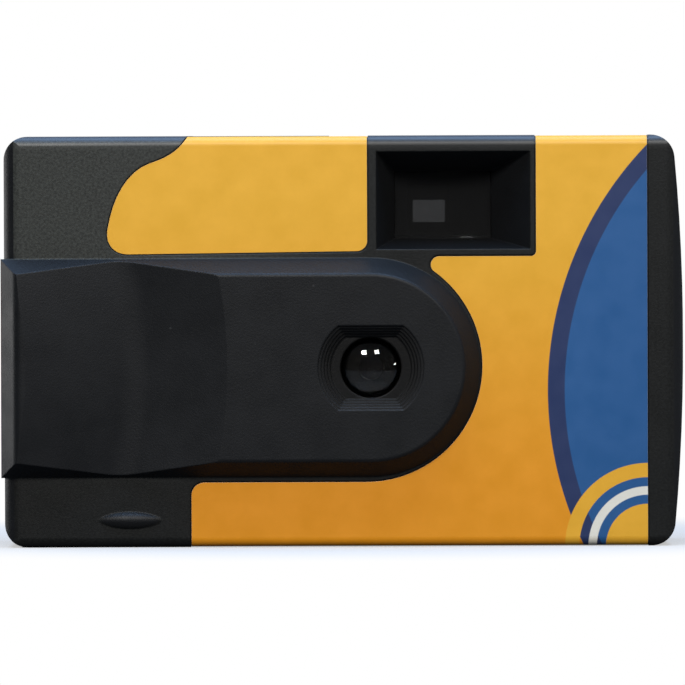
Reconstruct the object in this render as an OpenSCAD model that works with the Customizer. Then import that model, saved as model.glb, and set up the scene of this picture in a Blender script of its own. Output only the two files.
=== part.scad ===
// Single-use 35 mm film camera: two snap-together covers round a moulded frame that carries the film,
// a one-element lens, a one-blade shutter and the film advance. All sizes are in millimetres.
// Frame: X to the right seen from the front, Y from front to back, Z up, origin under the middle.

/* [Covers] */
// Width of the two covers
body_w = 105; // [104:0.5:108]
// Height of the camera
body_h = 63.5; // [63.5:0.5:66]
// Depth of the two covers without the lens housing
body_d = 29; // [29:0.1:29.4]
// Thickness of the moulded walls
wall = 1.2; // [1:0.1:1.2]
// Radius of the corners seen from the front
corner_r = 3.8; // [3:0.1:5]
// Radius along the top and bottom edges
edge_r = 1.5; // [1.3:0.1:1.8]
// Radius along the upright edges
side_r = 2.6; // [2:0.1:3]
// Radius of the bowed right-hand side
bow_r = 300; // [200:10:600]

// Half length of the raised thumb ridge in front of the film door
ridge_half_l = 4.9; // [4.5:0.1:5.2]

/* [Lens housing] */
// Height of the housing in front of the covers
housing_h = 4; // [3.6:0.1:4.4]
// Lens axis to the right of the middle
lens_x = 4.2; // [3.8:0.1:4.6]
// Lens axis above the floor
lens_z = 27.7; // [27.5:0.1:27.9]
// Radius of the round end where it meets the cover
housing_r = 16.9; // [16.7:0.1:17.1]
// How far the housing wall leans in over its height
housing_draft = 2.5; // [2.2:0.1:2.8]
// Radius of the edge round the housing face
housing_edge_r = 0.7; // [0.4:0.1:1]
// Radius of the edge at the grip end
grip_edge_r = 1.8; // [1.4:0.1:2]
// How far the grip end stands out from the left side of the cover
grip_proud = 0.4; // [0.3:0.1:0.8]
// Depth of the finger scoop at its valley
scoop_depth = 3.3; // [2.8:0.1:3.5]
// Valley of the finger scoop along the body, at the height of the lens
scoop_x = -32.3; // [-33:0.1:-31.6]
// Radius of the valley line, which bows towards the lens
scoop_bow_r = 60; // [54:1:70]
// Slope of the scoop on the grip side and on the lens side
scoop_slopes = [12, 14]; // [10:0.5:15]
// Radius of the rounded valley between the two slopes
scoop_valley_r = 10; // [8:0.5:12]
// Half width of the lens recess
recess_r = 8.2; // [8:0.1:8.4]
// Half height of the lens recess between its flats
recess_half_h = 6.5; // [6.3:0.1:6.6]
// Number of steps that break up stray light in the recess
recess_steps = 5; // [4:1:6]

/* [Viewfinder] */
// Left side of the finder opening
finder_x = 5.1; // [5:0.1:5.3]
// Width of the finder opening
finder_w = 23.8; // [23.8:0.1:24.4]
// Bottom of the finder opening
finder_z = 45.9; // [45.8:0.1:46.1]
// Height of the finder opening
finder_h = 15.1; // [14.8:0.1:15.3]

/* [Film] */
// Diameter of the film cartridge
cartridge_d = 25; // [24.8:0.1:25]
// Length of the cartridge between its caps
cartridge_len = 47; // [46.6:0.1:47]
// Width of the film
film_w = 35; // [34.9:0.1:35]
// Thickness of the film
film_t = 0.14; // [0.12:0.01:0.16]
// Width of one picture
picture_w = 36; // [35:0.5:36]
// Height of one picture
picture_h = 24; // [23:0.5:24]
// Radius of the curved film plane
film_bend_r = 110; // [105:5:125]

/* [Mechanism] */
// Radius of the thumbwheel
thumbwheel_r = 13.3; // [13.1:0.1:13.3]
// Ribs round the thumbwheel
thumbwheel_ribs = 54; // [44:1:60]
// Teeth round the frame counter
counter_teeth = 36; // [30:1:40]
// Radius of the taking lens
lens_r = 4.55; // [4.4:0.05:4.6]
// Radius of the lens stop
stop_r = 1.6; // [1.2:0.1:2]

/* [Hidden] */
$fn = 96;

plastic = "#26282b";

// Planes from front to back
y_face = -(body_d + housing_h) / 2;
y_front = y_face + housing_h;
y_back = y_front + body_d;
y_split = 1;
lip = 1.2;
recess_depth = 2.5;
y_lip = y_face + recess_depth + 0.6;
y_seat = y_lip + 1.4;
y_holder = y_seat + 2.7;
y_wall = y_holder + 0.7;
y_film = y_back - 4.1;
y_finder = -5;

// Heights
z_mid = body_h / 2;
z_cartridge = lens_z - cartridge_len / 2;
z_deck = z_cartridge + cartridge_len + 0.3;
deck_t = 1.2;
z_move = z_deck + deck_t + 0.2;
lever_h = 3.2;
z_keeper = z_move + lever_h + 0.2;
z_counter = z_keeper + deck_t + 1.3;
counter_t = 1.8;
z_perforations = lens_z + film_w / 2 - 2;

// Upright axes, each [x, y]
film_gap = 0.25;
film_bend_half = 21.9;
film_drop = film_bend_r - sqrt(pow(film_bend_r, 2) - pow(film_bend_half, 2));
y_mouth = y_film - film_drop;
sprocket_r = 6.05;
cartridge_at = [-37.2, 2.4];
sprocket_at = [lens_x - film_bend_half, y_mouth - sprocket_r];
supply_at = [37, 1.8];
striker_at = [-3.4, 2];
metering_at = [-19.5, -5];
counter_r = 8.2;
finger_r = 3.2;
counter_at = sprocket_at + 11.6 * [cos(-35), sin(-35)];
supply_core_r = 4.2;
supply_roll_r = y_mouth - film_t / 2 - 0.1 - supply_at[1];
keeper_pins = [[-11, -6.6], [0.3, 6.6], [-10.5, 8]];

// Shutter blade: pivot [x, z], thickness and place; radius of the lens flange in front of it
blade_at = [-3, 44];
blade_t = 0.4;
flange_r = 5.6;
y_blade = y_wall - 0.15 - blade_t;

// Finder: middle of the front lens and of the eyepiece, each [x, z], half sizes and the shelf below
finder_at = [15.4, 52.8];
finder_half = [7.45, 5.2];
finder_lens_t = 2.5;
eyepiece_at = [12.7, 51.7];
eyepiece_half = [3.5, 2.4];
eyepiece_t = 1.8;
shelf_z = 46.2;

// Film door, its opening and its hinge bead
door_x = [-50, -24.4];
door_y = [-10.6, 14];
door_opening_h = 3;
hinge_r = 0.6;
hinge_z = hinge_r + 0.05;
bead_x = [door_x[0] + 1.5, door_x[1] - 1.5];

// Thumb ridge: middle [x, z], radius at its middle and depth of its axis under the front face
ridge_at = [-33, 4.2];
ridge_r = 1.5;
ridge_sink = 0.7;

// Shutter button
button_at = [-35.5, -6];
button_size = [11, 7];
release_at = [-20, 60.2];

// Label: depth of its pocket, its upright edges, and the strip of cover left beside the finder
label_pocket = 0.3;
label_x0 = -23.56;
label_mid_x = 3.7;
label_x1 = 46.9;
label_y1 = y_split - 1.3;
finder_margin = 0.85;

// Counter window in the top, over the numbers of the dial
window_at = [-13.2, -4.9];

// Cam and levers, and the pins that the spring between the levers hooks on
cam_r = 4;
cam_gap = 0.25;
lever_hub_r = 2.4;
arm_t = 1.3;
hook_r = 0.5;
striker_x = blade_at[0] - 1.35;
hook_a = striker_at + 6.5 * (sprocket_at - striker_at) / norm(sprocket_at - striker_at);
hook_b = metering_at + [2.7, -3.6];
spring_peg = [-6.2, 47.5];
mouth_x = cartridge_at[0] + 8.6;

// Radii of pins and shafts, the play round those that turn and the little round those pressed in
pivot_r = 1.5;
pivot_tip_r = 1;
keeper_pin_r = 0.9;
blade_pin_r = 1;
shaft_r = 2;
wheel_hub_r = 6;
bead_r = 0.8;
key_r = 2.6;
play = 0.06;
snug = 0.03;

// Draws a sketch of Y and Z along X, one of X and Z along Y, or one of X and Y along Z
module along_x(x0, x1) {
    translate([x0, 0, 0])
        rotate([90, 0, 90])
            linear_extrude(x1 - x0)
                children();
}

module along_y(y0, y1) {
    translate([0, y1, 0])
        rotate([90, 0, 0])
            linear_extrude(y1 - y0)
                children();
}

module along_z(z0, z1) {
    translate([0, 0, z0])
        linear_extrude(z1 - z0)
            children();
}

// Box between two limits on each axis
module block(x, y, z) {
    translate([x[0], y[0], z[0]])
        cube([x[1] - x[0], y[1] - y[0], z[1] - z[0]]);
}

// Upright round post, and one that lies along Y
module post(at, r, z0, z1) {
    translate([at[0], at[1], z0])
        cylinder(r = r, h = z1 - z0);
}

module stud(x, z, r, y0, y1) {
    translate([x, y1, z])
        rotate([90, 0, 0])
            cylinder(r = r, h = y1 - y0);
}

module rect(x0, y0, x1, y1) {
    translate([x0, y0])
        square([x1 - x0, y1 - y0]);
}

module rect_about(at, half) {
    translate(at)
        square(2 * half, center = true);
}

module rounded_rect(x0, y0, x1, y1, r) {
    rect(x0 + r, y0, x1 - r, y1);
    rect(x0, y0 + r, x1, y1 - r);
    for (x = [x0 + r, x1 - r], y = [y0 + r, y1 - r])
        translate([x, y])
            circle(r);
}

// Covers seen from the front: straight left side, bowed right side
module front_outline(inset) {
    r = corner_r - inset;
    bow = bow_r - inset;
    half = z_mid - corner_r;
    left = -body_w / 2 + inset;
    bow_x = body_w / 2 - bow_r;
    turn_x = bow_x + sqrt(pow(bow - r, 2) - pow(half, 2));
    meet_z = half * bow / (bow - r);
    translate([0, z_mid]) {
        rect(left + r, -half - r, turn_x, half + r);
        rect(left, -half, turn_x, half);
        for (x = [left + r, turn_x], z = [-half, half])
            translate([x, z])
                circle(r);
        intersection() {
            translate([bow_x, 0])
                circle(bow, $fn = 360);
            rect(0, -meet_z, body_w, meet_z);
        }
    }
}

// Outside of both covers, shrunk by the inset
module envelope(inset) {
    intersection() {
        along_y(y_front - 2, y_back + 2)
            front_outline(inset);
        along_x(-body_w, body_w)
            rounded_rect(y_front + inset, inset, y_back - inset, body_h - inset, edge_r - inset);
        along_z(-2, body_h + 2)
            rounded_rect(-body_w / 2 + inset, y_front + inset, body_w / 2 - inset, y_back - inset,
                side_r - inset);
    }
}

module cover_part(y0, y1) {
    intersection() {
        children();
        block([-body_w, body_w], [y0, y1], [-5, body_h + 5]);
    }
}

// Points [distance, height] of a leaning wall from its foot up to its rounded top edge
function leaning_wall(foot, lean, h, r) =
    let (a = atan(lean / h),
         c = foot - (r + (h - r) * sin(a)) / cos(a))
    [for (t = [0 : 6])
        let (q = a + (90 - a) * t / 6)
        [c + r * cos(q), h - r + r * sin(q)]];

// Raised housing that carries the lens at its round end and the grip at its left end
module housing(inset) {
    lean = housing_draft / housing_h;
    slant = sqrt(1 + lean * lean);
    h = housing_h - inset;
    foot = housing_r - inset * slant;
    // the grip end reaches back past the rounded upright edge of the cover
    sink = side_r + 0.8 - inset;
    edge = leaning_wall(foot, lean * h, h, max(housing_edge_r - inset, 0.2));
    rise = concat([[foot, -sink], [foot, 0]], edge);
    reach = body_w / 2 + grip_proud + lens_x - inset * slant;
    side = concat([[reach, -sink], [reach, 0]],
        leaning_wall(reach, lean * h, h, max(grip_edge_r - inset, 0.2)));
    last = len(rise) - 1;
    intersection() {
        union() {
            translate([lens_x, y_front, lens_z])
                rotate([90, 0, 0])
                    rotate_extrude()
                        polygon(concat([[0, -sink]], rise, [[0, h]]));
            along_x(-body_w, lens_x)
                polygon(concat(
                    [for (p = rise) [y_front - p[1], lens_z + p[0]]],
                    [for (i = [last : -1 : 0]) [y_front - rise[i][1], lens_z - rise[i][0]]]));
        }
        along_z(-5, body_h)
            polygon(concat(
                [for (p = side) [lens_x - p[0], y_front - p[1]]],
                [[body_w / 2, y_front - h], [body_w / 2, y_front + sink]]));
    }
}

// Finger scoop: a valley between two slopes, swept round an axis beside the grip
module finger_scoop(grow) {
    steps = 10;
    above = 1;
    sink = grow / cos(scoop_slopes[1]);
    centre = scoop_depth - scoop_valley_r + sink;
    valley = [for (i = [0 : steps])
        let (a = -scoop_slopes[0] + (scoop_slopes[0] + scoop_slopes[1]) * i / steps)
        [scoop_bow_r + scoop_valley_r * sin(a), -centre - scoop_valley_r * cos(a)]];
    left = valley[0];
    right = valley[steps];
    translate([scoop_x - scoop_bow_r, y_face, lens_z])
        rotate([90, 0, 0])
            rotate_extrude($fn = 240)
                polygon(concat([[left[0] - (above - left[1]) / tan(scoop_slopes[0]), above]], valley,
                    [[right[0] + (above - right[1]) / tan(scoop_slopes[1]), above]]));
}

// Stepped recess in front of the lens
module lens_recess() {
    taper = [2.4, 2];
    for (i = [0 : recess_steps - 1])
        along_y(y_face - 1, y_face + recess_depth * (i + 1) / recess_steps)
            translate([lens_x, lens_z])
                intersection() {
                    circle(recess_r - taper[0] * i / recess_steps);
                    square([3 * recess_r, 2 * (recess_half_h - taper[1] * i / recess_steps)], center = true);
                }
    stud(lens_x, lens_z, lens_r + 0.2, y_face, y_lip + 1);
}

// Tapering finder funnel from the front opening to the lens behind it
module finder_funnel(grow, y0, y1) {
    slice = 0.1;
    hull() {
        along_y(y0, y0 + slice)
            rect(finder_x - grow, finder_z - grow, finder_x + finder_w + grow, finder_z + finder_h + grow);
        along_y(y1 - slice, y1)
            rect_about(finder_at, finder_half + [grow, grow]);
    }
}

// Raised ridge for the thumb: a spindle along X sunk in the front face
module thumb_ridge() {
    steps = 8;
    proud = ridge_r - ridge_sink;
    bow = (pow(ridge_half_l, 2) + pow(proud, 2)) / (2 * proud);
    spindle = [for (i = [-steps : steps])
        let (x = ridge_half_l * i / steps)
        [ridge_r - bow + sqrt(pow(bow, 2) - pow(x, 2)), x]];
    translate([ridge_at[0], y_front + ridge_sink, ridge_at[1]])
        rotate([0, 90, 0])
            rotate_extrude()
                polygon(concat([[0, -ridge_half_l]], spindle, [[0, ridge_half_l]]));
}

// Points of a cubic curve after its first point
function curve(a, b, c, d) =
    [for (i = [1 : 8])
        let (t = i / 8, s = 1 - t)
        s * s * s * a + 3 * s * s * t * b + 3 * s * t * t * c + t * t * t * d];

// Outline of the label on the front: a lobe over the grip, and a field round the lens housing
module label_front() {
    top = body_h + 2;
    below = -6;
    hole_r = housing_r + 1.05;
    hole_at = [lens_x - 0.73, lens_z + 0.25];
    lobe_z = lens_z + housing_r + 0.65;
    lobe_rise = 0.4;
    lobe_round = 1.6;
    field_round = 2;
    tip_round = 1.3;
    notch_round = 0.8;
    lobe = concat([[label_mid_x, top], [-22.8, top], [-24.1, 63.2]],
        curve([-24.1, 63.2], [-25.6, 60.9], [-27.6, 60], [-29.8, 59.3]),
        curve([-29.8, 59.3], [-33.4, 58], [-35.6, 54], [-36.4, 48.9]),
        curve([-36.4, 48.9], [-36.7, 46.7], [-35.3, lobe_z], [-33.2, lobe_z]),
        [[label_mid_x, lobe_z + lobe_rise]]);
    offset(r = lobe_round)
        offset(delta = -lobe_round)
            polygon(lobe);
    offset(r = tip_round)
        offset(delta = -tip_round)
            offset(r = -notch_round)
                offset(delta = notch_round)
                    difference() {
                        union() {
                            rect(lens_x, below, label_x1, top);
                            rounded_rect(label_x0, below, label_x1, hole_at[1] - hole_r, field_round);
                        }
                        translate(hole_at)
                            circle(hole_r);
                        rect(label_mid_x, finder_z - 1.1, finder_x + finder_w + finder_margin, top);
                    }
}

// Space of the label and of its pocket: front, flap over the top edge and flap under the bottom edge
module label_field(grow) {
    bend = y_front + edge_r - 0.05;
    lobe_flap = 1.2;
    along_y(y_front - 1, y_front + edge_r)
        offset(delta = grow)
            label_front();
    along_z(z_mid, body_h + 1)
        offset(delta = grow)
            difference() {
                union() {
                    rect(-23, bend, label_mid_x, bend + lobe_flap);
                    rect(-2, bend, label_x1, label_y1);
                }
                rect(label_mid_x, bend - 1, finder_x + finder_w + finder_margin, bend + 2);
            }
    along_z(-1, z_mid)
        offset(delta = grow)
            rect(label_x0, bend, label_x1, label_y1);
}

// Sketches of the button and of the counter pane, and of their openings in the top
module button_sketch(grow) {
    w = button_size[0] / 2 + grow;
    d = button_size[1] / 2 + grow;
    translate(button_at)
        rounded_rect(-w, -d, w, d, 1.5);
}

module counter_pane(grow) {
    half = [2.8, 2.3];
    rect_about(window_at, half + [grow, grow]);
}

// Front cover with lens housing, grip scoop, finder funnel and openings for button and counter
module front_cover() {
    button_play = 0.35;
    color(plastic)
    difference() {
        union() {
            difference() {
                union() {
                    cover_part(y_front - 1, y_split)
                        envelope(0);
                    housing(0);
                }
                envelope(wall);
                difference() {
                    housing(wall);
                    finger_scoop(wall);
                }
            }
            stud(lens_x, lens_z, recess_r + wall, y_face + 0.5, y_lip);
            finder_funnel(1, y_front + 0.3, y_finder);
            cover_part(y_front - ridge_r, y_front + wall / 2)
                thumb_ridge();
        }
        finger_scoop(0);
        lens_recess();
        finder_funnel(0, y_front - 0.1, y_finder + 0.1);
        along_z(z_mid, body_h + 1)
            button_sketch(button_play);
        along_z(z_mid, body_h + 1)
            counter_pane(0.1);
        block(door_x, [door_y[0], y_split + 1], [-1, door_opening_h]);
        cover_part(y_split - lip - 0.1, y_split + 1)
            envelope(wall / 2);
        intersection() {
            difference() {
                envelope(-0.5);
                envelope(label_pocket);
            }
            label_field(0.15);
        }
    }
}

// Rear cover with film platen ribs, eyepiece opening and the thumb recess round the wheel
module rear_cover() {
    wheel_x = cartridge_at[0];
    slot_half_w = 8.7;
    slot_z = [z_move - 0.3, z_move + 4.9];
    // thumb recess: its floor, the half width and the top of it there and at the back of the camera
    y_thumb = 14;
    z_thumb = z_move - 0.5;
    thumb_floor = [10.6, z_move + 7];
    thumb_rim = [12.6, z_move + 8.4];
    bulkhead_x = -23.4;
    skin = wall - 0.3;
    rib_pitch = 8;
    rib_half_t = 0.6;
    eye_flare = 1.4;
    groove_x = bead_x + [-0.3, 0.3];
    color(plastic)
    difference() {
        union() {
            difference() {
                union() {
                    cover_part(y_split, y_back + 1)
                        envelope(0);
                    cover_part(y_split - lip, y_split + 0.1)
                        envelope(wall / 2 + play);
                }
                envelope(wall);
            }
            block([-body_w / 2 + skin, bulkhead_x], [y_thumb - wall, y_back - skin],
                [z_deck + 0.1, body_h - skin]);
            for (i = [-2 : 2])
                along_z(lens_z + rib_pitch * i - rib_half_t, lens_z + rib_pitch * i + rib_half_t)
                    difference() {
                        rect(lens_x - 17, y_film - 3, lens_x + 19, y_back - wall / 2);
                        translate([lens_x, y_film - film_bend_r])
                            circle(film_bend_r + film_t / 2 + film_gap, $fn = 360);
                    }
        }
        hull() {
            along_y(y_thumb, y_thumb + 0.1)
                rect(wheel_x - thumb_floor[0], z_thumb, wheel_x + thumb_floor[0], thumb_floor[1]);
            along_y(y_back, y_back + 0.1)
                rect(wheel_x - thumb_rim[0], z_thumb, wheel_x + thumb_rim[0], thumb_rim[1]);
        }
        block([wheel_x - slot_half_w, wheel_x + slot_half_w], [y_thumb - 2, y_thumb + 1], slot_z);
        along_y(y_back - 2, y_back + 1)
            rect_about(eyepiece_at, eyepiece_half);
        hull() {
            along_y(y_back - 0.7, y_back - 0.6)
                rect_about(eyepiece_at, eyepiece_half);
            along_y(y_back, y_back + 0.1)
                rect_about(eyepiece_at, eyepiece_half + [eye_flare, eye_flare]);
        }
        block(door_x, [y_split - lip - 1, door_y[1]], [-1, door_opening_h]);
        translate([groove_x[0], door_y[1], hinge_z])
            rotate([0, 90, 0])
                cylinder(r = hinge_r + 0.08, h = groove_x[1] - groove_x[0]);
        block(groove_x, [door_y[1] - 0.1, door_y[1] + hinge_r], [-1, hinge_r / 2]);
    }
}

// Door under the cartridge, hung on a bead in a groove of the rear cover
module film_door() {
    door_play = 0.2;
    ring_r = 10.4;
    ring_t = 1.4;
    color(plastic)
    difference() {
        union() {
            block(door_x + [door_play, -door_play], [door_y[0] + door_play, door_y[1] - 0.7], [0, wall]);
            block(bead_x, [door_y[1] - 1, door_y[1]], [0.3, 1]);
            translate([bead_x[0], door_y[1], hinge_z])
                rotate([0, 90, 0])
                    cylinder(r = hinge_r, h = bead_x[1] - bead_x[0]);
            post(cartridge_at, ring_r, wall - 0.1, z_cartridge - 0.2);
        }
        post(cartridge_at, ring_r - ring_t, wall, z_cartridge);
    }
}

// Printed self-adhesive label, one piece folded over the top and bottom edges
module label() {
    color("#dba23c")
    intersection() {
        difference() {
            envelope(0.1);
            envelope(label_pocket - 0.02);
        }
        label_field(0);
    }
}

// Moulded frame: cartridge chamber, exposure box with the film gate, supply chamber and deck
module main_frame() {
    z_deck_top = z_deck + deck_t;
    chamber_r = cartridge_d / 2 + 0.25;
    shell_t = 0.8;
    // half sizes of the exposure box at its front and its back, and of the light path behind the stop
    box_front = [9, 8];
    box_back = [19.3, 13.4];
    path_front = [6.5, 5.5];
    y_box = 8;
    gate_x = [lens_x - 20.5, lens_x + 24.5];
    gate_half_h = 19;
    deck_right = 3.4;
    blade_wall_x = -7;
    web_x = -24.6;
    chamber_z = 6.8;
    bracket_z = [36.2, 38.4];
    supply_r = 9.9;
    supply_z = [wall, 50.2];
    ridge_t = 0.8;
    ridge_z = [shelf_z - 0.1, shelf_z + 1];
    color("#3a3d40")
    difference() {
        union() {
            // exposure box and curved film gate
            hull() {
                along_y(y_wall, y_wall + 0.1)
                    rect_about([lens_x, lens_z], box_front);
                along_y(y_box - 0.1, y_box)
                    rect_about([lens_x, lens_z], box_back);
            }
            along_z(lens_z - gate_half_h, lens_z + gate_half_h)
                intersection() {
                    rect(gate_x[0], y_box - 1, gate_x[1], y_film);
                    translate([lens_x, y_film - film_bend_r])
                        circle(film_bend_r - film_t / 2 - film_gap, $fn = 360);
                }
            // wall behind the shutter blade, up to the deck
            block([blade_wall_x, lens_x + box_front[0]], [y_wall, y_wall + 1],
                [lens_z - box_front[0], blade_at[1]]);
            block([blade_wall_x, deck_right], [y_wall, y_wall + 1], [blade_at[1] - 1, z_deck_top]);
            // deck over the cartridge and under the levers
            along_z(z_deck, z_deck_top) {
                intersection() {
                    translate(cartridge_at)
                        circle(chamber_r + shell_t);
                    rect(-body_w, -body_w, 0, 12.4);
                }
                rect(-30, y_wall + 0.2, deck_right, 9);
            }
            // chamber wall in front of the cartridge, and the web beside it
            along_z(chamber_z, z_deck + 0.1)
                translate(cartridge_at)
                    difference() {
                        circle(chamber_r + shell_t);
                        circle(chamber_r);
                        rect(-body_w, -3, body_w, body_w);
                    }
            block([web_x, blade_wall_x], [-3, -1.8], [wall, z_deck + 0.1]);
            // bracket under the sprocket
            block([sprocket_at[0] - 3.2, lens_x - 15], [sprocket_at[1] - 3, sprocket_at[1] + 2.5], bracket_z);
            // supply chamber
            along_z(supply_z[0], supply_z[1])
                translate(supply_at)
                    difference() {
                        circle(supply_r + shell_t);
                        rect(-body_w, 6.4, body_w, body_w);
                    }
            // finder shelf with a ridge behind each lens
            block([6.6, 24.2], [y_finder + 0.05, y_back - wall - 0.1], [lens_z + film_w / 2 + 0.2, shelf_z]);
            translate([finder_at[0], y_finder + finder_lens_t + 0.1, 0])
                block([-8.4, 8.4], [0, ridge_t], ridge_z);
            translate([eyepiece_at[0], y_back - wall - eyepiece_t - 0.2, 0])
                block([-5.4, 5.4], [-ridge_t, 0], ridge_z);
            // posts for the levers and the keeper plate
            for (at = [striker_at, metering_at]) {
                post(at, pivot_r, z_deck, z_keeper);
                post(at, pivot_tip_r, z_deck, z_keeper + deck_t);
            }
            for (at = keeper_pins) {
                post(at, 1.6, z_deck, z_keeper);
                post(at, keeper_pin_r, z_deck, z_keeper + deck_t);
            }
            stud(blade_at[0], blade_at[1], blade_pin_r, y_wall - 1.9, y_wall + 0.2);
            stud(spring_peg[0], spring_peg[1], 0.5, y_wall - 1.9, y_wall + 0.2);
        }
        // light path from the stop to the film gate
        hull() {
            along_y(y_wall + 1, y_wall + 1.1)
                rect_about([lens_x, lens_z], path_front);
            along_y(y_film + 0.9, y_film + 1)
                rect_about([lens_x, lens_z], [picture_w, picture_h] / 2);
        }
        stud(lens_x, lens_z, 3, y_wall - 1, y_wall + 2);
        post(sprocket_at, sprocket_r + 1.25, z_perforations - 1.8, z_perforations + 1.8);
        post(sprocket_at, shaft_r + play, 30, z_keeper);
        post(cartridge_at, wheel_hub_r + play, z_deck - 1, z_keeper);
        post(supply_at, supply_r, supply_z[0] + 1.2, supply_z[1] - 1.2);
        post(supply_at, pivot_r + play, 0, body_h);
    }
}

// Plate in front of the blade that carries the lens and the stop
module lens_holder() {
    holder_r = 9;
    foot_r = 1.3;
    foot_circle_r = 7.4;
    seat_t = 1.2;
    color("#2c2e31")
    difference() {
        union() {
            stud(lens_x, lens_z, holder_r, y_seat, y_holder);
            for (a = [-90, -30, 30])
                stud(lens_x + foot_circle_r * cos(a), lens_z + foot_circle_r * sin(a), foot_r,
                    y_holder - 0.1, y_wall);
        }
        stud(lens_x, lens_z, flange_r + 0.05, y_seat - 1, y_seat + seat_t);
        stud(lens_x, lens_z, stop_r, y_seat, y_holder + 1);
        translate([lens_x, y_holder, lens_z])
            rotate([90, 0, 0])
                cylinder(r1 = 3, r2 = stop_r, h = 1);
    }
}

// One-element moulded lens with a flange
module taking_lens() {
    dome_r = 8.5;
    hollow_r = 14;
    flange_t = 1.2;
    y_vertex = y_lip - dome_r + sqrt(dome_r * dome_r - lens_r * lens_r);
    color("#b9c4cc", 0.6)
    difference() {
        union() {
            intersection() {
                stud(lens_x, lens_z, lens_r, y_vertex - 1, y_seat + 0.5);
                translate([lens_x, y_vertex + dome_r, lens_z])
                    sphere(dome_r);
            }
            stud(lens_x, lens_z, flange_r, y_seat, y_seat + flange_t);
        }
        translate([lens_x, y_seat + hollow_r + 0.8, lens_z])
            sphere(hollow_r);
    }
}

module lens_retainer() {
    color("#1d1e20")
    difference() {
        stud(lens_x, lens_z, 7.2, y_lip, y_seat);
        stud(lens_x, lens_z, lens_r + 0.15, y_lip - 1, y_seat + 1);
    }
}

// Shutter blade: covers the stop, hangs on the frame and is struck on its upper tab
module shutter_blade() {
    color("#6d7276")
    along_y(y_blade, y_blade + blade_t)
        difference() {
            union() {
                hull() {
                    translate([lens_x, lens_z])
                        circle(3.4, $fn = 32);
                    translate(blade_at)
                        circle(2.2, $fn = 32);
                }
                rect(blade_at[0] - 1.2, blade_at[1], blade_at[0] + 1.2, z_move + lever_h - 0.1);
            }
            translate(blade_at)
                circle(blade_pin_r + play);
        }
}

// Tube along a path, turned as little as possible from point to point
function unit(v) = v / norm(v);
function heading(path, i) = unit(path[min(i + 1, len(path) - 1)] - path[max(i - 1, 0)]);

module tube(path, r, up) {
    sides = 6;
    count = len(path);
    across = [for (i = 0, n = up; i < count; i = i + 1,
        n = i < count ? unit(n - (n * heading(path, i)) * heading(path, i)) : n)
        unit(n - (n * heading(path, i)) * heading(path, i))];
    points = [for (i = [0 : count - 1], k = [0 : sides - 1])
        let (b = cross(heading(path, i), across[i]))
        path[i] + r * (cos(360 * k / sides) * across[i] + sin(360 * k / sides) * b)];
    wrap = [for (i = [0 : count - 2], k = [0 : sides - 1])
        let (a = i * sides + k, b = i * sides + (k + 1) % sides)
        each [[a, a + sides, b], [b, a + sides, b + sides]]];
    first = [for (k = [1 : sides - 2]) [0, k, k + 1]];
    base = (count - 1) * sides;
    last = [for (k = [1 : sides - 2]) [base, base + k + 1, base + k]];
    polyhedron(points, concat(first, wrap, last), convexity = 10);
}

// Hairpin spring on the blade pivot that closes the blade again
module shutter_spring() {
    coil_r = 1.5;
    turns = 2.25;
    pitch = 0.4;
    y0 = y_blade - 0.3;
    coil = [for (i = [0 : 8 * turns])
        let (a = 90 + 45 * i)
        [blade_at[0] + coil_r * cos(a), y0 - pitch * i / 8, blade_at[1] + coil_r * sin(a)]];
    to_tab = [[blade_at[0] + 1.6, y0, blade_at[1] + 6], [blade_at[0] + 1.6, y0, blade_at[1] + 2.6]];
    y1 = y0 - pitch * turns;
    to_peg = [[spring_peg[0] - 0.4, y1, spring_peg[1] - 0.75]];
    color("#9aa0a4")
    tube(concat(to_tab, coil, to_peg), 0.15, [0, 1, 0]);
}

// Flat arm that narrows from its root to its end
module arm(at, toward, reach, root, end) {
    d = toward - at;
    translate(at)
        rotate(atan2(d[1], d[0]))
            polygon([[0, -root], [reach, -end], [reach, end], [0, root]]);
}

// Sprung lever that strikes the blade when the cam lets it go
module striker_lever() {
    color("#d8d4c8")
    difference() {
        union() {
            post(striker_at, lever_hub_r, z_move, z_move + lever_h);
            along_z(z_move, z_move + lever_h)
                polygon([[-5.4, 1], [-5.3, -9.9], [striker_x, -9.9], [striker_x, -8.2], [-1.6, 1]]);
            along_z(z_move, z_move + arm_t)
                arm(striker_at, sprocket_at, norm(sprocket_at - striker_at) - cam_r - cam_gap, 1.3, 0.7);
            post(hook_a, hook_r, z_move, z_move + lever_h - 0.1);
        }
        post(striker_at, pivot_r + play, z_move - 1, z_move + lever_h + 1);
    }
}

// Lever that locks the thumbwheel after one picture and follows the cam
module metering_lever() {
    color("#d8d4c8")
    difference() {
        union() {
            post(metering_at, lever_hub_r, z_move, z_move + lever_h);
            along_z(z_move, z_move + lever_h) {
                arm(metering_at, cartridge_at, norm(cartridge_at - metering_at) - thumbwheel_r - cam_gap,
                    1.2, 0.3);
                arm(metering_at, sprocket_at, norm(sprocket_at - metering_at) - cam_r - cam_gap, 1.2, 0.6);
            }
            along_z(z_move, z_move + arm_t)
                arm(metering_at, hook_b, norm(hook_b - metering_at) + 0.8, 1.2, 0.8);
            post(hook_b, hook_r, z_move, z_move + lever_h - 0.1);
        }
        post(metering_at, pivot_r + play, z_move - 1, z_move + lever_h + 1);
    }
}

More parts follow.
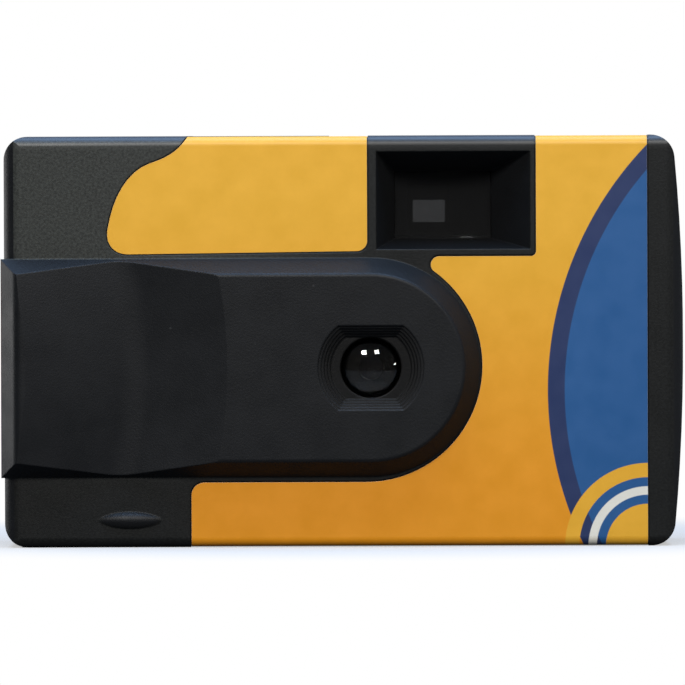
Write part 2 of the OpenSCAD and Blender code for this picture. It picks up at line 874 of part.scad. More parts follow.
// Extension spring between the two levers
module lever_spring() {
    run = norm(hook_b - hook_a);
    way = unit([hook_b[0] - hook_a[0], hook_b[1] - hook_a[1], 0]);
    side = [-way[1], way[0], 0];
    z = z_move + 2.3;
    loop_r = 0.75;
    coil_r = 0.7;
    turns = 11;
    lead = 1.8;
    // each point as distance along the spring, sideways and up
    local = concat(
        [for (a = [150 : 30 : 360]) [loop_r * cos(a), loop_r * sin(a), 0]],
        [for (i = [0 : 8 * turns])
            [lead + (run - 2 * lead) * i / (8 * turns), coil_r * cos(45 * i), coil_r * sin(45 * i)]],
        [for (a = [180 : 30 : 390]) [run + loop_r * cos(a), loop_r * sin(a), 0]]);
    path = [for (p = local) [hook_a[0], hook_a[1], z] + p[0] * way + p[1] * side + p[2] * [0, 0, 1]];
    color("#9aa0a4")
    tube(path, 0.16, [0, 0, 1]);
}

// Outline with even teeth between two radii
function toothed(count, root_r, tip_r) =
    [for (i = [0 : count - 1], p = [[-0.3, root_r], [-0.14, tip_r], [0.14, tip_r], [0.3, root_r]])
        let (a = 360 * (i + p[0]) / count)
        [p[1] * cos(a), p[1] * sin(a)]];

// Sprocket driven by the film perforations, with the cam and the counter finger on its shaft
module sprocket_shaft() {
    teeth = 8;
    root_r = 5;
    tip_r = 6.85;
    wheel_half_t = 0.9;
    color("#e4e0d4")
    translate([sprocket_at[0], sprocket_at[1], 0]) {
        post([0, 0], shaft_r, 36.4, z_counter + counter_t);
        post([0, 0], shaft_r + 1, 38.6, z_perforations);
        post([0, 0], sprocket_r - 0.15, z_perforations - wheel_half_t, z_perforations + wheel_half_t);
        along_z(z_perforations - 0.8, z_perforations + 0.8)
            for (i = [0 : teeth - 1])
                rotate(90 + 360 * i / teeth)
                    polygon([[root_r, -0.65], [tip_r, -0.35], [tip_r, 0.35], [root_r, 0.65]]);
        along_z(z_move, z_move + lever_h)
            difference() {
                circle(cam_r);
                rotate(200)
                    rect(cam_r - 1, -0.8, cam_r + 1, 0.8);
            }
        along_z(z_counter, z_counter + counter_t)
            rotate(100)
                rect(0, -0.5, finger_r, 0.5);
    }
}

// Plate that holds the levers down and carries the counter and the hinge of the button
module keeper_plate() {
    z1 = z_keeper + deck_t;
    hinge_top = 61.2;
    color("#3a3d40")
    difference() {
        union() {
            along_z(z_keeper, z1)
                polygon([[-21.8, -9.2], [2, -9.2], [2, 8.6], [-13, 9.4], [-21.8, 8.4]]);
            post(counter_at, 2.6, z_keeper, z_counter - 0.1);
            post(counter_at, pivot_r, z_keeper, z_counter + counter_t + 0.2);
            block([release_at[0], release_at[0] + 2 * bead_r], [button_at[1] - 3, button_at[1] + 2.5],
                [z_keeper, hinge_top]);
        }
        post(sprocket_at, shaft_r + play, z_keeper - 1, z1 + 1);
        for (at = [striker_at, metering_at])
            post(at, pivot_tip_r + snug, z_keeper - 1, z1 + 1);
        for (at = keeper_pins)
            post(at, keeper_pin_r + snug, z_keeper - 1, z1 + 1);
        stud(release_at[0], release_at[1], bead_r + play, button_at[1] - 4, button_at[1] + 4);
    }
}

// Dial of the pictures left, stepped one tooth at each picture
module counter_wheel() {
    color("#f2f0e8")
    difference() {
        along_z(z_counter, z_counter + counter_t)
            translate(counter_at)
                polygon(toothed(counter_teeth, counter_r - 0.7, counter_r));
        post(counter_at, pivot_r + play, z_counter - 1, z_counter + counter_t + 1);
    }
}

module counter_window() {
    color("#dfe6ea", 0.5) {
        along_z(body_h - wall - 0.8, body_h - wall)
            counter_pane(1);
        along_z(body_h - wall - 0.1, body_h - 0.3)
            counter_pane(0);
    }
}

// Shutter button on a springy arm that hinges on the keeper plate
module shutter_button() {
    dish_r = 24;
    dish_depth = 0.7;
    color("#1b1c1e")
    difference() {
        union() {
            stud(release_at[0], release_at[1], bead_r, button_at[1] - 2.6, button_at[1] + 2.1);
            block([button_at[0] - 1, release_at[0]], [button_at[1] - 2.4, button_at[1] + 1.9],
                [release_at[1] - 0.6, release_at[1] + 0.6]);
            along_z(release_at[1] + 0.5, body_h - 0.2)
                button_sketch(0);
        }
        translate([button_at[0], button_at[1] + 10, body_h - dish_depth + dish_r])
            rotate([90, 0, 0])
                cylinder(r = dish_r, h = 20);
    }
}

// Ribbed wheel turned with the thumb, keyed into the cartridge spool
module thumbwheel() {
    wheel_t = 4.6;
    rim_t = 2.4;
    web_t = 2.4;
    knob_r = 3;
    key_z = [z_deck - 4, z_deck + 1];
    color("#1b1c1e")
    translate([cartridge_at[0], cartridge_at[1], 0])
        difference() {
            union() {
                along_z(z_move, z_move + wheel_t)
                    polygon(toothed(thumbwheel_ribs, thumbwheel_r - 0.6, thumbwheel_r));
                post([0, 0], wheel_hub_r, z_deck + 0.1, z_move + 1);
                post([0, 0], knob_r, z_move, body_h - wall - 0.3);
                post([0, 0], key_r, key_z[0], key_z[1]);
                block([-4.2, 4.2], [-0.8, 0.8], key_z);
            }
            difference() {
                post([0, 0], thumbwheel_r - rim_t, z_move + web_t, z_move + wheel_t + 1);
                post([0, 0], knob_r, z_move, body_h);
            }
        }
}

// Film cartridge: rolled shell with lips at the mouth
module cartridge_shell() {
    shell_t = 0.3;
    r = cartridge_d / 2 - 0.05;
    gap = 0.75;
    lip_l = 4.2;
    color("#c9a227")
    along_z(z_cartridge + 1, z_cartridge + cartridge_len - 1)
        difference() {
            union() {
                translate(cartridge_at)
                    difference() {
                        circle(r);
                        circle(r - shell_t);
                    }
                for (y = [y_mouth - gap - shell_t, y_mouth + gap])
                    rect(mouth_x, y, mouth_x + lip_l, y + shell_t);
            }
            rect(mouth_x - 1, y_mouth - gap, mouth_x + lip_l + 1, y_mouth + gap);
        }
}

module cartridge_caps() {
    cap_h = 1;
    hole_r = 5.4;
    color("#26282b")
    for (z = [z_cartridge, z_cartridge + cartridge_len - cap_h])
        difference() {
            post(cartridge_at, cartridge_d / 2, z, z + cap_h);
            post(cartridge_at, hole_r, z - 1, z + cap_h + 1);
        }
}

module cartridge_spool() {
    z1 = z_cartridge + cartridge_len;
    core_r = 4.9;
    disc_r = 10.6;
    socket_z = [z1 - 4.4, z1 + 1];
    color("#1b1c1e")
    difference() {
        union() {
            post(cartridge_at, core_r, z_cartridge + 0.2, z1 + 0.1);
            for (z = [z_cartridge + 1.3, z1 - 2.3])
                post(cartridge_at, disc_r, z, z + 1);
        }
        post(cartridge_at, key_r + play, socket_z[0], socket_z[1]);
        translate([cartridge_at[0], cartridge_at[1], 0])
            block([-4.3, 4.3], [-0.9, 0.9], socket_z);
    }
}

// Two felt strips that keep light out of the mouth
module light_trap_felt() {
    near = film_t / 2 + 0.07;
    far = 0.72;
    color("#101010")
    for (y = [[-far, -near], [near, far]])
        block([mouth_x + 0.6, mouth_x + 4], [y_mouth + y[0], y_mouth + y[1]],
            [z_cartridge + 3, z_cartridge + cartridge_len - 3]);
}

// Film from the supply roll, over the curved gate and the sprocket, into the cartridge
module film_strip() {
    slot_half = [4.8, 1.1];
    y0 = y_mouth - film_t / 2;
    y1 = y_mouth + film_t / 2;
    color("#5b4636")
    difference() {
        along_z(lens_z - film_w / 2, lens_z + film_w / 2) {
            intersection() {
                translate([lens_x, y_film - film_bend_r])
                    difference() {
                        circle(film_bend_r + film_t / 2, $fn = 360);
                        circle(film_bend_r - film_t / 2, $fn = 360);
                    }
                rect(lens_x - film_bend_half, 0, lens_x + film_bend_half, y_back);
            }
            rect(mouth_x - 1.5, y0, lens_x - film_bend_half + 0.1, y1);
            rect(lens_x + film_bend_half - 0.1, y0, supply_at[0] - 0.5, y1);
        }
        block([sprocket_at[0] - slot_half[0], sprocket_at[0] + slot_half[0]], [y_mouth - 2, y_mouth + 2],
            [z_perforations - slot_half[1], z_perforations + slot_half[1]]);
    }
}

module film_roll() {
    color("#5b4636")
    difference() {
        post(supply_at, supply_roll_r, lens_z - film_w / 2, lens_z + film_w / 2);
        post(supply_at, supply_core_r + 0.05, 0, body_h);
    }
}

module supply_spool() {
    color("#26282b") {
        post(supply_at, supply_core_r, 2.6, 48.8);
        post(supply_at, pivot_r, 1.4, 50);
    }
}

// Finder lenses, both standing on the shelf of the frame
module finder_front_lens() {
    hollow_r = 24;
    hollow_depth = 1.9;
    lens_half_w = 8.3;
    color("#dfe6ea", 0.5)
    difference() {
        block([finder_at[0] - lens_half_w, finder_at[0] + lens_half_w],
            [y_finder + 0.05, y_finder + finder_lens_t], [shelf_z, 58.8]);
        translate([finder_at[0], y_finder + hollow_depth - hollow_r, finder_at[1]])
            sphere(hollow_r, $fn = 240);
    }
}

module finder_eyepiece() {
    lens_half_w = 4.4;
    y1 = y_back - wall - 0.1;
    color("#dfe6ea", 0.5)
    translate([eyepiece_at[0], 0, 0])
        block([-lens_half_w, lens_half_w], [y1 - eyepiece_t, y1], [shelf_z, 57.4]);
}

front_cover();
rear_cover();
film_door();
label();
main_frame();
lens_holder();
taking_lens();
lens_retainer();
shutter_blade();
shutter_spring();
striker_lever();
metering_lever();
lever_spring();
sprocket_shaft();
keeper_plate();
counter_wheel();
counter_window();
shutter_button();
thumbwheel();
cartridge_shell();
cartridge_caps();
cartridge_spool();
light_trap_felt();
film_strip();
film_roll();
supply_spool();
finder_front_lens();
finder_eyepiece();
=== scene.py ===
import math

import bmesh
import bpy
from mathutils import Matrix, Vector


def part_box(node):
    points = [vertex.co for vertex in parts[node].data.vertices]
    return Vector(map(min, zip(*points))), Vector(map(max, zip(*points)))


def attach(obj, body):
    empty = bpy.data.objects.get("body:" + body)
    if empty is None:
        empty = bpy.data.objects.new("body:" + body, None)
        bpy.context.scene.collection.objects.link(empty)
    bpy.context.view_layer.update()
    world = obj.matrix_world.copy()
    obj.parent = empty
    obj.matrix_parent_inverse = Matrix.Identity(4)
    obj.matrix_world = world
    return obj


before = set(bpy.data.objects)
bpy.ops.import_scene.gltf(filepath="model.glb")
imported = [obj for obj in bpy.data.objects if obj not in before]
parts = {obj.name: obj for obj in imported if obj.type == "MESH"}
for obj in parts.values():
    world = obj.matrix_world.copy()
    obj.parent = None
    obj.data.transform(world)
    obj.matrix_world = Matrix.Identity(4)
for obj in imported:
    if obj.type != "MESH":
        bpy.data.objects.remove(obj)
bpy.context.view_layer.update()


# Moulded frame, keeper plate, supply spool, and the lens plate with its ring.
# Black polystyrene from a plain steel mould, so matt; plate and ring are duller, against stray light.
# The frame drops into the front cover; plate, lens and spool are trapped between the two.

def new_finish(name):
    material = bpy.data.materials.new(name)
    material.use_nodes = True
    return material, material.node_tree, material.node_tree.nodes["Principled BSDF"]


def feed(tree, socket, value):
    if isinstance(value, bpy.types.NodeSocket):
        tree.links.new(value, socket)
    else:
        socket.default_value = (*value, 1.0) if socket.type == "RGBA" else value


def put(tree, kind, settings=None, **values):
    made = tree.nodes.new("ShaderNode" + kind)
    for name, value in (settings or {}).items():
        setattr(made, name, value)
    for name, value in values.items():
        feed(tree, made.inputs[name.replace("_", " ")], value)
    return made


def reckon(tree, operation, *values, clamp=False):
    made = put(tree, "Math", {"operation": operation, "use_clamp": clamp})
    for socket, value in zip(made.inputs, values):
        feed(tree, socket, value)
    return made.outputs["Value"]


def times(tree, first, second):
    return reckon(tree, "MULTIPLY", first, second)


def measure(tree, operation, first, second):
    made = put(tree, "VectorMath", {"operation": operation})
    feed(tree, made.inputs[0], first)
    feed(tree, made.inputs[1], second)
    return made.outputs["Value"]


def grade(tree, value, span, levels, smooth=False):
    curve = "SMOOTHSTEP" if smooth else "LINEAR"
    made = put(tree, "MapRange", {"interpolation_type": curve}, Value=value,
               From_Min=span[0], From_Max=span[1], To_Min=levels[0], To_Max=levels[1])
    return made.outputs["Result"]


def blend_colours(tree, share, first, second, way="MIX"):
    first_colour, second_colour, mixed_colour = 6, 7, 2
    made = put(tree, "Mix", {"data_type": "RGBA", "blend_type": way}, Factor=share)
    feed(tree, made.inputs[first_colour], first)
    feed(tree, made.inputs[second_colour], second)
    return made.outputs[mixed_colour]


def start_group(name, inputs, outputs):
    group = bpy.data.node_groups.new(name, "ShaderNodeTree")
    for label, value in inputs.items():
        socket = group.interface.new_socket(label, in_out="INPUT", socket_type="NodeSocketFloat")
        socket.default_value = value
    for label, kind in outputs.items():
        group.interface.new_socket(label, in_out="OUTPUT", socket_type="NodeSocket" + kind)
    return group, group.nodes.new("NodeGroupInput").outputs, group.nodes.new("NodeGroupOutput").inputs


def place_group(tree, group, **values):
    return put(tree, "Group", {"node_tree": group}, **values).outputs


def object_place(tree):
    return put(tree, "TexCoord").outputs["Object"]


def noise(tree, place, scale, detail, roughness=0.5):
    made = put(tree, "TexNoise", Vector=place, Scale=scale, Detail=detail, Roughness=roughness)
    return made.outputs["Fac"]


rising, falling = (0.0, 1.0), (1.0, 0.0)

# Texture of the mould: grain that the tool leaves, slow unevenness of tone, and lint that settles on it
mould_texture, given, result = start_group(
    "mould_texture", {"Grain": 4000.0, "Lint": 1.0}, {"Tone": "Float", "Height": "Float", "Lint": "Float"})
clean_share = 0.72
fleck_edge = (0.015, 0.06)
place = object_place(mould_texture)
fleck = put(mould_texture, "TexVoronoi", {"feature": "F1"}, Vector=place, Scale=230.0, Randomness=1.0).outputs
chance = put(mould_texture, "SeparateColor", Color=fleck["Color"]).outputs["Red"]
settled = reckon(mould_texture, "GREATER_THAN", chance, clean_share)
spot = grade(mould_texture, fleck["Distance"], fleck_edge, falling, smooth=True)
lint = times(mould_texture, times(mould_texture, settled, spot), given["Lint"])
grain = noise(mould_texture, place, scale=given["Grain"], detail=3.0, roughness=0.62)
slow = noise(mould_texture, place, scale=170.0, detail=4.0, roughness=0.6)
feed(mould_texture, result["Tone"], slow)
feed(mould_texture, result["Height"], grain)
feed(mould_texture, result["Lint"], lint)

# Edges as a mould rounds them, and where hands rub them paler
soft_edges, given, result = start_group(
    "soft_edges", {"Radius": 0.0002}, {"Normal": "Vector", "Rub": "Float"})
turn_of_edge = (0.8, 0.99)
rounded = put(soft_edges, "Bevel", {"samples": 6}, Radius=given["Radius"]).outputs["Normal"]
flat = put(soft_edges, "NewGeometry").outputs["Normal"]
rub = grade(soft_edges, measure(soft_edges, "DOT_PRODUCT", rounded, flat), turn_of_edge, falling)
feed(soft_edges, result["Normal"], rounded)
feed(soft_edges, result["Rub"], rub)

noise_spread = (0.3, 0.7)


def two_tone(tree, shader, pattern, first, second):
    feed(tree, shader.inputs["Base Color"], blend_colours(tree, pattern, first, second))


def vary_roughness(tree, shader, pattern, shiny, dull):
    feed(tree, shader.inputs["Roughness"], grade(tree, pattern, noise_spread, (shiny, dull)))


def emboss(tree, shader, height, depth, strength=1.0, **under):
    relief = put(tree, "Bump", Strength=strength, Distance=depth, Height=height, **under)
    feed(tree, shader.inputs["Normal"], relief.outputs["Normal"])


def moulded(name, colour, rubbed, roughness, grain, depth, edge, gloss=0.5, lint=0.0):
    darker, paler = 0.86, 1.14
    drift = 0.05
    lint_grey = (0.16, 0.16, 0.155)
    material, tree, shader = new_finish(name)
    texture = place_group(tree, mould_texture, Grain=grain, Lint=lint)
    edges = place_group(tree, soft_edges, Radius=edge)
    tone = blend_colours(tree, texture["Tone"], [darker * c for c in colour], [paler * c for c in colour])
    tone = blend_colours(tree, times(tree, edges["Rub"], texture["Tone"]), tone, rubbed)
    if lint:
        tone = blend_colours(tree, texture["Lint"], tone, lint_grey)
    feed(tree, shader.inputs["Base Color"], tone)
    vary_roughness(tree, shader, texture["Tone"], roughness - drift, roughness + drift)
    shader.inputs["Specular IOR Level"].default_value = gloss
    emboss(tree, shader, texture["Height"], depth, Normal=edges["Normal"])
    return material


def dress(material, *names):
    for name in names:
        for slot in parts[name].material_slots:
            slot.material = material


frame_black = moulded("frame_black", colour=(0.017, 0.0175, 0.019), rubbed=(0.03, 0.03, 0.032),
                      roughness=0.58, grain=2600.0, depth=0.000012, edge=0.0002)
dress(frame_black, "main_frame", "keeper_plate", "supply_spool")
lens_black = moulded("lens_black", colour=(0.006, 0.0056, 0.005), rubbed=(0.012, 0.011, 0.01),
                     roughness=0.62, grain=2600.0, depth=0.000012, edge=0.0001, gloss=0.2)
dress(lens_black, "lens_holder", "lens_retainer")


# Sprocket shaft, striker lever and metering lever.
# Natural acetal, moulded, waxy and slightly see-through looking, so it needs no grease.
# They turn on the frame's posts under the keeper plate.

acetal = moulded("acetal", colour=(0.68, 0.65, 0.57), rubbed=(0.75, 0.72, 0.65),
                 roughness=0.36, grain=1800.0, depth=0.000006, edge=0.00015)
dress(acetal, "sprocket_shaft", "striker_lever", "metering_lever")


# Lever spring and shutter spring.
# Bright drawn spring wire, wound cold, with draw lines along the wire.
# One hooks between the two levers, the other sits on the blade's pivot.

spring_wire, tree, shader = new_finish("spring_wire")
draw_lines = noise(tree, object_place(tree), scale=9000.0, detail=2.0)
two_tone(tree, shader, draw_lines, (0.42, 0.42, 0.43), (0.6, 0.6, 0.6))
vary_roughness(tree, shader, draw_lines, shiny=0.2, dull=0.38)
shader.inputs["Metallic"].default_value = 1.0
dress(spring_wire, "lever_spring", "shutter_spring")


# Shutter blade.
# Punched from thin rolled steel strip and blackened, with rolling marks along its length.
# It hangs on a stud of the frame and swings across the stop.

blade_steel, tree, shader = new_finish("blade_steel")
drawn_out = put(tree, "Mapping", Vector=object_place(tree), Scale=(1.0, 1.0, 0.03)).outputs["Vector"]
rolling = noise(tree, drawn_out, scale=6000.0, detail=4.0)
two_tone(tree, shader, rolling, (0.02, 0.02, 0.021), (0.05, 0.05, 0.052))
vary_roughness(tree, shader, rolling, shiny=0.32, dull=0.5)
shader.inputs["Metallic"].default_value = 1.0
emboss(tree, shader, rolling, depth=0.000004, strength=0.6)
dress(blade_steel, "shutter_blade")


# Taking lens, the two finder lenses and the pane over the counter.
# Clear acrylic, moulded, with the faint haze of cheap optics; the finder's has a dark tint that is painted
# shade, and shines less.
# The lens is trapped by its ring; the others snap behind their openings.

def clear_acrylic(name, tint, haze, clearness=1.0, mirror=1.0):
    dimmed = 0.97
    smeared = (0.45, 0.75)
    material, tree, shader = new_finish(name)
    smear = noise(tree, object_place(tree), scale=420.0, detail=5.0, roughness=0.65)
    two_tone(tree, shader, smear, [dimmed * c for c in tint], tint)
    feed(tree, shader.inputs["Roughness"], grade(tree, smear, smeared, (0.0, haze)))
    shader.inputs["Transmission Weight"].default_value = clearness
    shader.inputs["IOR"].default_value = 1.49
    shader.inputs["Specular Tint"].default_value = (mirror, mirror, mirror, 1.0)
    return material


lens_acrylic = clear_acrylic("lens_acrylic", tint=(0.93, 0.92, 0.9), haze=0.02)
dress(lens_acrylic, "taking_lens")
# Painted shade: the finder's dark tint darkens what is seen through the finder
finder_acrylic = clear_acrylic("finder_acrylic", tint=(0.17, 0.172, 0.176), haze=0.05,
                               clearness=0.95, mirror=0.04)
dress(finder_acrylic, "finder_front_lens", "finder_eyepiece")
pane_acrylic = clear_acrylic("pane_acrylic", tint=(0.95, 0.96, 0.97), haze=0.04)
dress(pane_acrylic, "counter_window")


# Counter dial with its numerals.
# White polystyrene wheel; the numerals are pad-printed in black, upright where the pane shows them.
# It turns on the keeper plate's post and is stepped by the finger of the sprocket shaft.

dial_white = moulded("dial_white", colour=(0.82, 0.81, 0.77), rubbed=(0.86, 0.85, 0.82),
                     roughness=0.42, grain=2200.0, depth=0.000005, edge=0.00012)
dress(dial_white, "counter_wheel")

counter_low, counter_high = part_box("counter_wheel")
dial_centre = (counter_low + counter_high) / 2
dial_top = counter_high.z
pane_low, pane_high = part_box("counter_window")
pane_centre = (pane_low + pane_high) / 2
to_pane = math.atan2(pane_centre.y - dial_centre.y, pane_centre.x - dial_centre.x)
pictures = 27
numeral_every = 3
tooth_angle = math.radians(10)
numeral_ring = 0.0056
numeral_height = 0.0019
dot_foot, dot_top, dot_sides = 0.00022, 0.0002, 16
ink_thickness = 0.00002
weld_distance = 1e-7

numerals = bmesh.new()
for step in range(pictures + 1):
    angle = to_pane + step * tooth_angle
    spot = dial_centre + numeral_ring * Vector((math.cos(angle), math.sin(angle), 0))
    spot.z = dial_top
    if step % numeral_every == 0:
        letters = bpy.data.curves.new("letters", "FONT")
        letters.body = str(pictures - step)
        letters.size = numeral_height
        letters.align_x = "CENTER"
        letters.align_y = "CENTER"
        letters.extrude = ink_thickness / 2
        carrier = bpy.data.objects.new("carrier", letters)
        bpy.context.scene.collection.objects.link(carrier)
        bpy.context.view_layer.update()
        drawn = carrier.evaluated_get(bpy.context.evaluated_depsgraph_get())
        shape = bpy.data.meshes.new_from_object(drawn)
        bpy.data.objects.remove(carrier)
        shape.transform(Matrix.Translation(spot) @ Matrix.Rotation(math.pi + step * tooth_angle, 4, "Z"))
        numerals.from_mesh(shape)
        bpy.data.meshes.remove(shape)
    else:
        bmesh.ops.create_cone(
            numerals, cap_ends=True, segments=dot_sides, radius1=dot_foot, radius2=dot_top,
            depth=ink_thickness, matrix=Matrix.Translation(spot))
bmesh.ops.remove_doubles(numerals, verts=numerals.verts, dist=weld_distance)
bmesh.ops.recalc_face_normals(numerals, faces=numerals.faces)
numeral_mesh = bpy.data.meshes.new("counter_numerals")
numerals.to_mesh(numeral_mesh)
numerals.free()
counter_numerals = bpy.data.objects.new("counter_numerals", numeral_mesh)
bpy.context.scene.collection.objects.link(counter_numerals)

dial_ink, tree, shader = new_finish("dial_ink")
ink_cover = noise(tree, object_place(tree), scale=9000.0, detail=2.0)
two_tone(tree, shader, ink_cover, (0.008, 0.008, 0.009), (0.03, 0.03, 0.032))
shader.inputs["Roughness"].default_value = 0.45
numeral_mesh.materials.append(dial_ink)
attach(counter_numerals, "counter")


# Film cartridge: rolled shell, two caps, spool and the felt in its mouth.
# Printed tin plate with black lacquered caps, a moulded spool and black velvet glued to the lips.
# It is loaded ready for use and comes out through the door in the base.

cartridge_tin, tree, shader = new_finish("cartridge_tin")
band_bottom, band_top = (0.0298, 0.03), (0.0418, 0.042)
band_black = (0.018, 0.018, 0.02)
place = object_place(tree)
height = put(tree, "SeparateXYZ", Vector=place).outputs["Z"]
band = times(tree, grade(tree, height, band_bottom, rising), grade(tree, height, band_top, falling))
mottle = noise(tree, place, scale=900.0, detail=3.0)
lacquer = blend_colours(tree, mottle, (0.54, 0.37, 0.05), (0.64, 0.46, 0.07))
two_tone(tree, shader, band, lacquer, band_black)
vary_roughness(tree, shader, mottle, shiny=0.26, dull=0.4)
shader.inputs["Metallic"].default_value = 0.35
emboss(tree, shader, mottle, depth=0.00001, strength=0.4)
dress(cartridge_tin, "cartridge_shell")

cap_lacquer, tree, shader = new_finish("cap_lacquer")
deep_scratch = (0.68, 0.74)
drawn_out = put(tree, "Mapping", Vector=object_place(tree), Scale=(1.0, 14.0, 1.0)).outputs["Vector"]
scratches = noise(tree, drawn_out, scale=1500.0, detail=5.0, roughness=0.7)
bare = grade(tree, scratches, deep_scratch, rising)
two_tone(tree, shader, bare, (0.016, 0.016, 0.018), (0.32, 0.31, 0.29))
vary_roughness(tree, shader, scratches, shiny=0.24, dull=0.4)
feed(tree, shader.inputs["Metallic"], bare)
dress(cap_lacquer, "cartridge_caps")

spool_black = moulded("spool_black", colour=(0.014, 0.014, 0.015), rubbed=(0.026, 0.026, 0.028),
                      roughness=0.4, grain=2400.0, depth=0.000008, edge=0.0002)
dress(spool_black, "cartridge_spool")

velvet, tree, shader = new_finish("velvet")
pile = noise(tree, object_place(tree), scale=7000.0, detail=2.0)
two_tone(tree, shader, pile, (0.004, 0.004, 0.004), (0.02, 0.02, 0.02))
shader.inputs["Roughness"].default_value = 0.95
shader.inputs["Sheen Weight"].default_value = 0.4
emboss(tree, shader, pile, depth=0.00008)
dress(velvet, "light_trap_felt")


# Film, stretched over the gate and rolled up on the supply spool.
# Grey-brown coated film base with a row of perforations along both edges.
# The thumbwheel draws it back into the cartridge one picture at a time.

film_base, tree, shader = new_finish("film_base")
film_low, film_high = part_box("film_strip")
hole_pitch, hole_length = 0.00475, 0.00198
row_middle, row_half_width = 0.0034, 0.0014
whole_pitches = 100 * hole_pitch
hole_black = (0.008, 0.008, 0.008)
place = object_place(tree)
axes = put(tree, "SeparateXYZ", Vector=place).outputs
along = reckon(tree, "MODULO", reckon(tree, "ADD", axes["X"], whole_pitches), hole_pitch)
from_edge = reckon(tree, "MINIMUM", reckon(tree, "SUBTRACT", axes["Z"], film_low.z),
                   reckon(tree, "SUBTRACT", film_high.z, axes["Z"]))
hole = times(tree, reckon(tree, "LESS_THAN", along, hole_length),
             reckon(tree, "COMPARE", from_edge, row_middle, row_half_width))
coating = noise(tree, place, scale=300.0, detail=3.0)
base = blend_colours(tree, coating, (0.115, 0.068, 0.045), (0.15, 0.09, 0.06))
two_tone(tree, shader, hole, base, hole_black)
vary_roughness(tree, shader, coating, shiny=0.22, dull=0.32)
dress(film_base, "film_strip", "film_roll")


# Front cover, rear cover and film door.
# High-impact black polystyrene from a finely etched mould, so satin, with lint on it.
# The covers snap together round the frame; the door hangs on a bead along the base.

cover_black = moulded("cover_black", colour=(0.0056, 0.0060, 0.0067), rubbed=(0.018, 0.019, 0.02),
                      roughness=0.47, grain=3600.0, depth=0.00003, edge=0.0003, gloss=0.24, lint=0.12)
tree = cover_black.node_tree
shader = tree.nodes["Principled BSDF"]
satin_tone = shader.inputs["Base Color"].links[0].from_socket
even_finish = shader.inputs["Roughness"].links[0].from_socket
place = object_place(tree)
axes = put(tree, "SeparateXYZ", Vector=place).outputs

# Flat front: a coarser spark-eroded grain, and a painted sheen that makes it paler towards the upper left
# corner
label_sunk = 0.0001
face_depth = 0.0002
sheen_side, sheen_rise = (-0.025, 0.01), (0.012, 0.05)
plain_grey, painted_sheen_grey = (0.0085, 0.009, 0.0083), (0.038, 0.04, 0.0345)
pit_spread, pit_shade = (0.35, 0.65), (0.0, 0.5)
pit_black = (0.0, 0.0, 0.0)
on_face = reckon(tree, "COMPARE", axes["Y"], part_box("label")[0].y - label_sunk, face_depth)
painted_sheen_corner = times(tree, grade(tree, axes["X"], sheen_side, falling, smooth=True),
                    grade(tree, axes["Z"], sheen_rise, rising, smooth=True))
face_with_painted_sheen = blend_colours(tree, painted_sheen_corner, plain_grey, painted_sheen_grey)
pits = grade(tree, noise(tree, place, scale=2400.0, detail=2.0), pit_spread, pit_shade)
speckled_face_with_sheen = blend_colours(tree, pits, face_with_painted_sheen, pit_black)

# Recess round the lens: painted shade, darkening it nearly to black from just behind the housing's front
lens_low, lens_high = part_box("taking_lens")
lens_axis = (lens_low + lens_high) / 2
housing_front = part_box("front_cover")[0].y
recess_edge = (0.0088, 0.0092)
recess_fall = (housing_front + 0.00005, housing_front + 0.0015)
recess_shade_share = (0.0, 0.85)
recess_painted_shade = (0.0005, 0.0005, 0.0006)
across = put(tree, "CombineXYZ", X=axes["X"], Z=axes["Z"]).outputs["Vector"]
from_lens = measure(tree, "DISTANCE", across, (lens_axis.x, 0.0, lens_axis.z))
recess_shade_mask = times(tree, grade(tree, from_lens, recess_edge, falling),
                  grade(tree, axes["Y"], recess_fall, recess_shade_share))
two_tone(tree, shader, on_face, blend_colours(tree, recess_shade_mask, satin_tone, recess_painted_shade), speckled_face_with_sheen)

# Front rim of the top: polished by fingers
top_edge, rim_reach = (0.0612, 0.0622), (-0.0115, -0.002)
polish = (0.0, 0.6)
front_rim = times(tree, grade(tree, axes["Z"], top_edge, polish, smooth=True),
                  grade(tree, axes["Y"], rim_reach, falling, smooth=True))
feed(tree, shader.inputs["Coat Weight"], front_rim)
shader.inputs["Coat Roughness"].default_value = 0.4

# Walls that face down or to the right: rougher, as they come off the mould
facing_down, facing_right = (-0.3, -0.6), (0.3, 0.6)
rougher = (0.0, 0.22)
faces = put(tree, "SeparateXYZ", Vector=put(tree, "TexCoord").outputs["Normal"]).outputs
low_or_right = reckon(tree, "MAXIMUM", grade(tree, faces["Z"], facing_down, rougher),
                      grade(tree, faces["X"], facing_right, rougher))
feed(tree, shader.inputs["Roughness"], reckon(tree, "ADD", even_finish, low_or_right))
dress(cover_black, "front_cover", "rear_cover", "film_door")


# Shutter button and thumbwheel.
# The same black polystyrene from a smoother mould, polished further by the fingers.
# The button rocks on the keeper plate, the wheel is keyed into the cartridge spool.

button_black = moulded("button_black", colour=(0.0064, 0.0066, 0.007), rubbed=(0.024, 0.025, 0.026),
                       roughness=0.33, grain=2600.0, depth=0.00001, edge=0.0002, gloss=0.42, lint=0.2)
dress(button_black, "shutter_button", "thumbwheel")


# Label.
# Printed paper with a clear varnish, die-cut round the housing and the finder, self-adhesive.
# It is laid into a shallow pocket of the front cover and folded over the top and bottom edges.

label_print, tree, shader = new_finish("label_print")
place = object_place(tree)
axes = put(tree, "SeparateXYZ", Vector=place).outputs
across = put(tree, "CombineXYZ", X=axes["X"], Z=axes["Z"]).outputs["Vector"]
print_blur = 0.00006


def inside(middle, radius):
    edge = (radius - print_blur, radius + print_blur)
    return grade(tree, measure(tree, "DISTANCE", across, middle), edge, falling)


